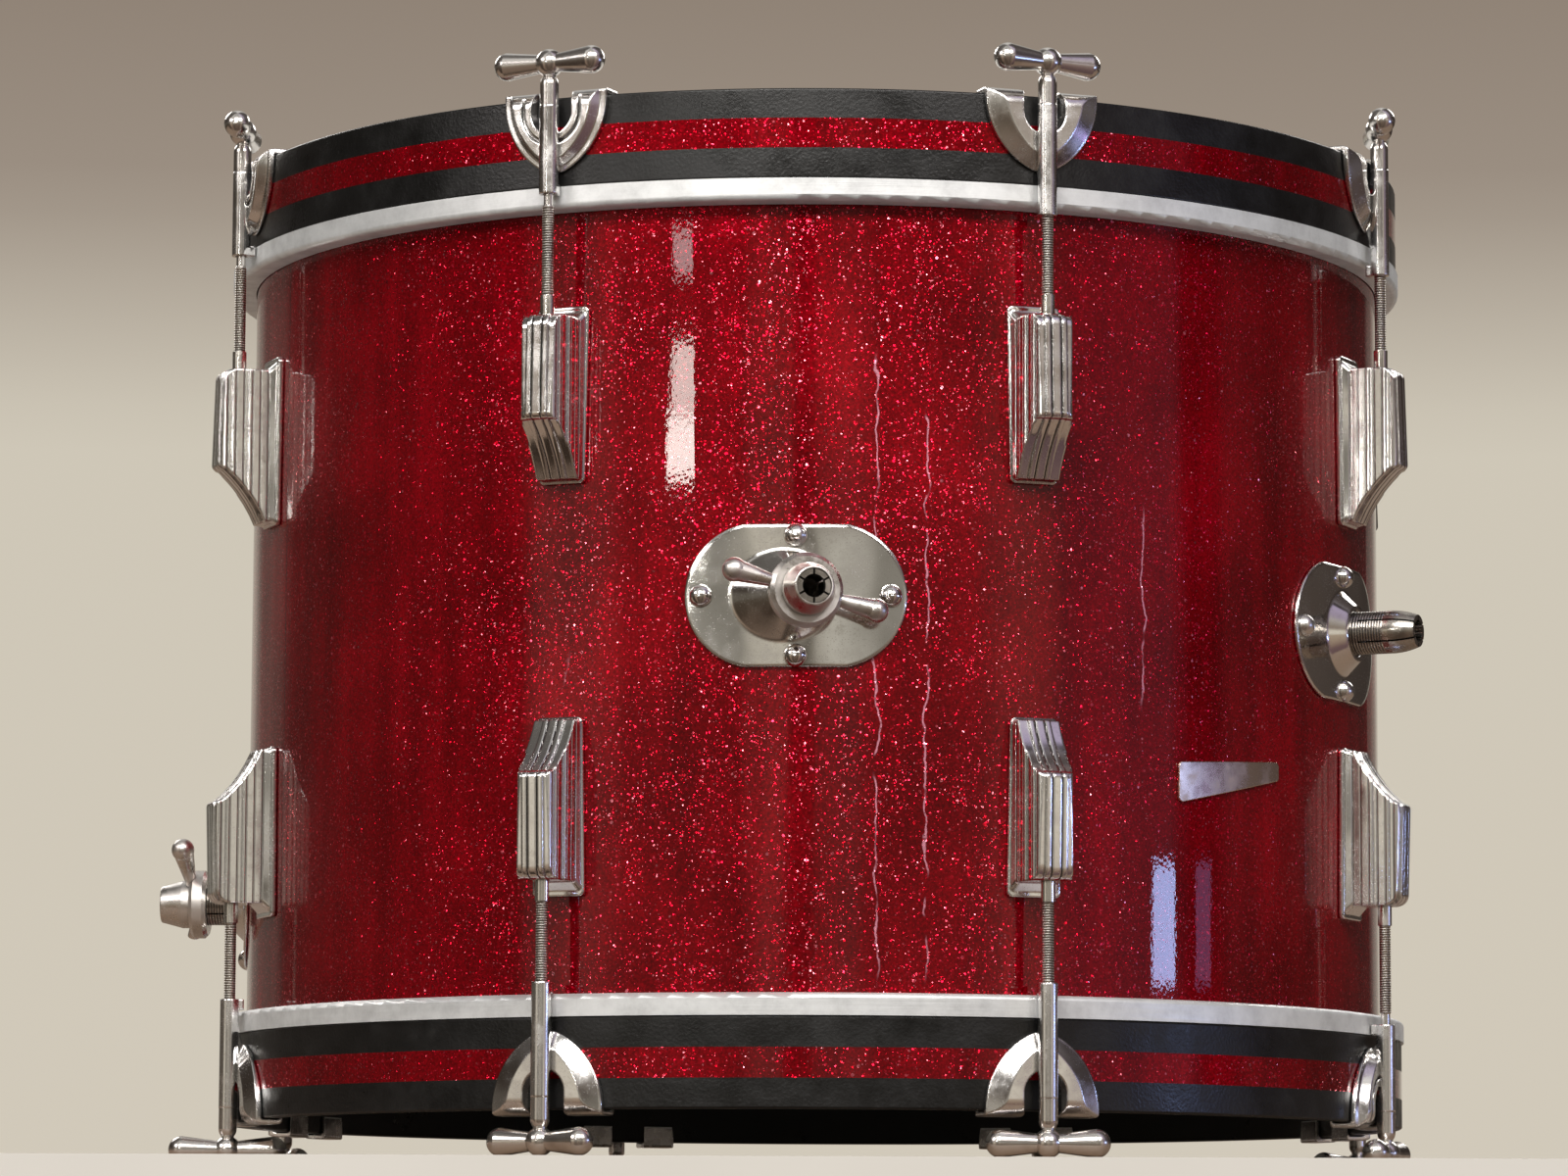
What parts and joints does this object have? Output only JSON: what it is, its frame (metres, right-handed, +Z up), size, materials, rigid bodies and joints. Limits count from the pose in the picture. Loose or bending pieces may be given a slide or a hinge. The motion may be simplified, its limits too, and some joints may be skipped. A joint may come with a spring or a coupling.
{
  "type": "drum",
  "caption": "Wood-hooped drum in red sparkle with claw hooks and T-handle rods, collet mounts with wing nuts, standing on its lower handles.",
  "frame": {"origin": "on the drum's axis, in the plane that the lowest T-handles stand on", "axes": "+Z up along the drum's axis; -Y towards the front, where the front collet mount is; +X to the viewer's right"},
  "size_m": [0.5673, 0.5652, 0.46],
  "materials": {
    "maple_ply": "clear sealed plies",
    "red_sparkle": "deep red sparkle sheet, glossy",
    "coated_film": "coated polyester film",
    "aluminium_hoop": "rolled, dull",
    "black_lacquer": "satin black lacquer",
    "rod_steel": "plated, worn",
    "cast_aluminium": "die-cast, worn plating",
    "nut_brass": "dull",
    "screw_steel": "plated",
    "chrome_plate": "polished, lightly pitted"
  },
  "bodies": {
    "drum": {"shell": "maple_ply", "shell_wrap": "red_sparkle", "reinforcement_rings": "maple_ply", "head_top": "coated_film", "head_bottom": "coated_film", "flesh_hoop_top": "aluminium_hoop", "flesh_hoop_bottom": "aluminium_hoop", "wood_hoop_top": "black_lacquer", "wood_hoop_bottom": "black_lacquer", "hoop_inlay_top": "red_sparkle", "hoop_inlay_bottom": "red_sparkle", "lug_casings_top": "cast_aluminium", "lug_casings_bottom": "cast_aluminium", "lug_swivel_nuts": "nut_brass", "lug_screws": "screw_steel", "mount_plate_front": "chrome_plate", "mount_plate_right": "chrome_plate", "mount_plate_left": "chrome_plate", "collet_front": "chrome_plate", "collet_right": "chrome_plate", "collet_left": "chrome_plate", "mount_screws": "screw_steel", "mount_nuts": "screw_steel", "vent_grommet": "chrome_plate", "blank_badge": "chrome_plate"},
    "claw_top_1": {"claw_top_1": "cast_aluminium"},
    "tension_rod_top_1": {"tension_rod_top_1": "rod_steel"},
    "claw_top_2": {"claw_top_2": "cast_aluminium"},
    "tension_rod_top_2": {"tension_rod_top_2": "rod_steel"},
    "claw_top_3": {"claw_top_3": "cast_aluminium"},
    "tension_rod_top_3": {"tension_rod_top_3": "rod_steel"},
    "claw_top_4": {"claw_top_4": "cast_aluminium"},
    "tension_rod_top_4": {"tension_rod_top_4": "rod_steel"},
    "claw_top_5": {"claw_top_5": "cast_aluminium"},
    "tension_rod_top_5": {"tension_rod_top_5": "rod_steel"},
    "claw_top_6": {"claw_top_6": "cast_aluminium"},
    "tension_rod_top_6": {"tension_rod_top_6": "rod_steel"},
    "claw_top_7": {"claw_top_7": "cast_aluminium"},
    "tension_rod_top_7": {"tension_rod_top_7": "rod_steel"},
    "claw_top_8": {"claw_top_8": "cast_aluminium"},
    "tension_rod_top_8": {"tension_rod_top_8": "rod_steel"},
    "claw_bottom_1": {"claw_bottom_1": "cast_aluminium"},
    "tension_rod_bottom_1": {"tension_rod_bottom_1": "rod_steel"},
    "claw_bottom_2": {"claw_bottom_2": "cast_aluminium"},
    "tension_rod_bottom_2": {"tension_rod_bottom_2": "rod_steel"},
    "claw_bottom_3": {"claw_bottom_3": "cast_aluminium"},
    "tension_rod_bottom_3": {"tension_rod_bottom_3": "rod_steel"},
    "claw_bottom_4": {"claw_bottom_4": "cast_aluminium"},
    "tension_rod_bottom_4": {"tension_rod_bottom_4": "rod_steel"},
    "claw_bottom_5": {"claw_bottom_5": "cast_aluminium"},
    "tension_rod_bottom_5": {"tension_rod_bottom_5": "rod_steel"},
    "claw_bottom_6": {"claw_bottom_6": "cast_aluminium"},
    "tension_rod_bottom_6": {"tension_rod_bottom_6": "rod_steel"},
    "claw_bottom_7": {"claw_bottom_7": "cast_aluminium"},
    "tension_rod_bottom_7": {"tension_rod_bottom_7": "rod_steel"},
    "claw_bottom_8": {"claw_bottom_8": "cast_aluminium"},
    "tension_rod_bottom_8": {"tension_rod_bottom_8": "rod_steel"},
    "wing_nut_front": {"wing_nut_front": "chrome_plate"},
    "wing_nut_left": {"wing_nut_left": "chrome_plate"}
  },
  "joints": [
    {"name": "claw_lift_top_1", "type": "slide", "parent": "drum", "child": "claw_top_1", "axis": [0, 0, 1], "range_m": [0, 0.0053]},
    {"name": "rod_turn_top_1", "type": "hinge", "parent": "claw_top_1", "child": "tension_rod_top_1", "pos_m": [0.10371, -0.25037, 0.436], "axis": [0, 0, 1], "range_deg": [0, 1800]},
    {"name": "claw_lift_top_2", "type": "slide", "parent": "drum", "child": "claw_top_2", "axis": [0, 0, 1], "range_m": [0, 0.0053]},
    {"name": "rod_turn_top_2", "type": "hinge", "parent": "claw_top_2", "child": "tension_rod_top_2", "pos_m": [0.25037, -0.10371, 0.436], "axis": [0, 0, 1], "range_deg": [0, 1800]},
    {"name": "claw_lift_top_3", "type": "slide", "parent": "drum", "child": "claw_top_3", "axis": [0, 0, 1], "range_m": [0, 0.0053]},
    {"name": "rod_turn_top_3", "type": "hinge", "parent": "claw_top_3", "child": "tension_rod_top_3", "pos_m": [0.25037, 0.10371, 0.436], "axis": [0, 0, 1], "range_deg": [0, 1800]},
    {"name": "claw_lift_top_4", "type": "slide", "parent": "drum", "child": "claw_top_4", "axis": [0, 0, 1], "range_m": [0, 0.0053]},
    {"name": "rod_turn_top_4", "type": "hinge", "parent": "claw_top_4", "child": "tension_rod_top_4", "pos_m": [0.10371, 0.25037, 0.436], "axis": [0, 0, 1], "range_deg": [0, 1800]},
    {"name": "claw_lift_top_5", "type": "slide", "parent": "drum", "child": "claw_top_5", "axis": [0, 0, 1], "range_m": [0, 0.0053]},
    {"name": "rod_turn_top_5", "type": "hinge", "parent": "claw_top_5", "child": "tension_rod_top_5", "pos_m": [-0.10371, 0.25037, 0.436], "axis": [0, 0, 1], "range_deg": [0, 1800]},
    {"name": "claw_lift_top_6", "type": "slide", "parent": "drum", "child": "claw_top_6", "axis": [0, 0, 1], "range_m": [0, 0.0053]},
    {"name": "rod_turn_top_6", "type": "hinge", "parent": "claw_top_6", "child": "tension_rod_top_6", "pos_m": [-0.25037, 0.10371, 0.436], "axis": [0, 0, 1], "range_deg": [0, 1800]},
    {"name": "claw_lift_top_7", "type": "slide", "parent": "drum", "child": "claw_top_7", "axis": [0, 0, 1], "range_m": [0, 0.0053]},
    {"name": "rod_turn_top_7", "type": "hinge", "parent": "claw_top_7", "child": "tension_rod_top_7", "pos_m": [-0.25037, -0.10371, 0.436], "axis": [0, 0, 1], "range_deg": [0, 1800]},
    {"name": "claw_lift_top_8", "type": "slide", "parent": "drum", "child": "claw_top_8", "axis": [0, 0, 1], "range_m": [0, 0.0053]},
    {"name": "rod_turn_top_8", "type": "hinge", "parent": "claw_top_8", "child": "tension_rod_top_8", "pos_m": [-0.10371, -0.25037, 0.436], "axis": [0, 0, 1], "range_deg": [0, 1800]},
    {"name": "claw_lift_bottom_1", "type": "slide", "parent": "drum", "child": "claw_bottom_1", "axis": [0, 0, -1], "range_m": [0, 0.0053]},
    {"name": "rod_turn_bottom_1", "type": "hinge", "parent": "claw_bottom_1", "child": "tension_rod_bottom_1", "pos_m": [0.10371, -0.25037, 0.024], "axis": [0, 0, -1], "range_deg": [0, 1800]},
    {"name": "claw_lift_bottom_2", "type": "slide", "parent": "drum", "child": "claw_bottom_2", "axis": [0, 0, -1], "range_m": [0, 0.0053]},
    {"name": "rod_turn_bottom_2", "type": "hinge", "parent": "claw_bottom_2", "child": "tension_rod_bottom_2", "pos_m": [0.25037, -0.10371, 0.024], "axis": [0, 0, -1], "range_deg": [0, 1800]},
    {"name": "claw_lift_bottom_3", "type": "slide", "parent": "drum", "child": "claw_bottom_3", "axis": [0, 0, -1], "range_m": [0, 0.0053]},
    {"name": "rod_turn_bottom_3", "type": "hinge", "parent": "claw_bottom_3", "child": "tension_rod_bottom_3", "pos_m": [0.25037, 0.10371, 0.024], "axis": [0, 0, -1], "range_deg": [0, 1800]},
    {"name": "claw_lift_bottom_4", "type": "slide", "parent": "drum", "child": "claw_bottom_4", "axis": [0, 0, -1], "range_m": [0, 0.0053]},
    {"name": "rod_turn_bottom_4", "type": "hinge", "parent": "claw_bottom_4", "child": "tension_rod_bottom_4", "pos_m": [0.10371, 0.25037, 0.024], "axis": [0, 0, -1], "range_deg": [0, 1800]},
    {"name": "claw_lift_bottom_5", "type": "slide", "parent": "drum", "child": "claw_bottom_5", "axis": [0, 0, -1], "range_m": [0, 0.0053]},
    {"name": "rod_turn_bottom_5", "type": "hinge", "parent": "claw_bottom_5", "child": "tension_rod_bottom_5", "pos_m": [-0.10371, 0.25037, 0.024], "axis": [0, 0, -1], "range_deg": [0, 1800]},
    {"name": "claw_lift_bottom_6", "type": "slide", "parent": "drum", "child": "claw_bottom_6", "axis": [0, 0, -1], "range_m": [0, 0.0053]},
    {"name": "rod_turn_bottom_6", "type": "hinge", "parent": "claw_bottom_6", "child": "tension_rod_bottom_6", "pos_m": [-0.25037, 0.10371, 0.024], "axis": [0, 0, -1], "range_deg": [0, 1800]},
    {"name": "claw_lift_bottom_7", "type": "slide", "parent": "drum", "child": "claw_bottom_7", "axis": [0, 0, -1], "range_m": [0, 0.0053]},
    {"name": "rod_turn_bottom_7", "type": "hinge", "parent": "claw_bottom_7", "child": "tension_rod_bottom_7", "pos_m": [-0.25037, -0.10371, 0.024], "axis": [0, 0, -1], "range_deg": [0, 1800]},
    {"name": "claw_lift_bottom_8", "type": "slide", "parent": "drum", "child": "claw_bottom_8", "axis": [0, 0, -1], "range_m": [0, 0.0053]},
    {"name": "rod_turn_bottom_8", "type": "hinge", "parent": "claw_bottom_8", "child": "tension_rod_bottom_8", "pos_m": [-0.10371, -0.25037, 0.024], "axis": [0, 0, -1], "range_deg": [0, 1800]},
    {"name": "wing_nut_front_turn", "type": "hinge", "parent": "drum", "child": "wing_nut_front", "pos_m": [0, -0.254, 0.23], "axis": [0.2419, -0.9703, 0], "range_deg": [0, 360]},
    {"name": "wing_nut_left_turn", "type": "hinge", "parent": "drum", "child": "wing_nut_left", "pos_m": [-0.254, 0, 0.1193], "axis": [-1, 0, 0], "range_deg": [0, 360]}
  ],
  "couplings": [
    {"joint": "claw_lift_top_1", "follows": "rod_turn_top_1", "m_per_rad": 0.00016843},
    {"joint": "claw_lift_top_2", "follows": "rod_turn_top_2", "m_per_rad": 0.00016843},
    {"joint": "claw_lift_top_3", "follows": "rod_turn_top_3", "m_per_rad": 0.00016843},
    {"joint": "claw_lift_top_4", "follows": "rod_turn_top_4", "m_per_rad": 0.00016843},
    {"joint": "claw_lift_top_5", "follows": "rod_turn_top_5", "m_per_rad": 0.00016843},
    {"joint": "claw_lift_top_6", "follows": "rod_turn_top_6", "m_per_rad": 0.00016843},
    {"joint": "claw_lift_top_7", "follows": "rod_turn_top_7", "m_per_rad": 0.00016843},
    {"joint": "claw_lift_top_8", "follows": "rod_turn_top_8", "m_per_rad": 0.00016843},
    {"joint": "claw_lift_bottom_1", "follows": "rod_turn_bottom_1", "m_per_rad": 0.00016843},
    {"joint": "claw_lift_bottom_2", "follows": "rod_turn_bottom_2", "m_per_rad": 0.00016843},
    {"joint": "claw_lift_bottom_3", "follows": "rod_turn_bottom_3", "m_per_rad": 0.00016843},
    {"joint": "claw_lift_bottom_4", "follows": "rod_turn_bottom_4", "m_per_rad": 0.00016843},
    {"joint": "claw_lift_bottom_5", "follows": "rod_turn_bottom_5", "m_per_rad": 0.00016843},
    {"joint": "claw_lift_bottom_6", "follows": "rod_turn_bottom_6", "m_per_rad": 0.00016843},
    {"joint": "claw_lift_bottom_7", "follows": "rod_turn_bottom_7", "m_per_rad": 0.00016843},
    {"joint": "claw_lift_bottom_8", "follows": "rod_turn_bottom_8", "m_per_rad": 0.00016843}
  ]
}
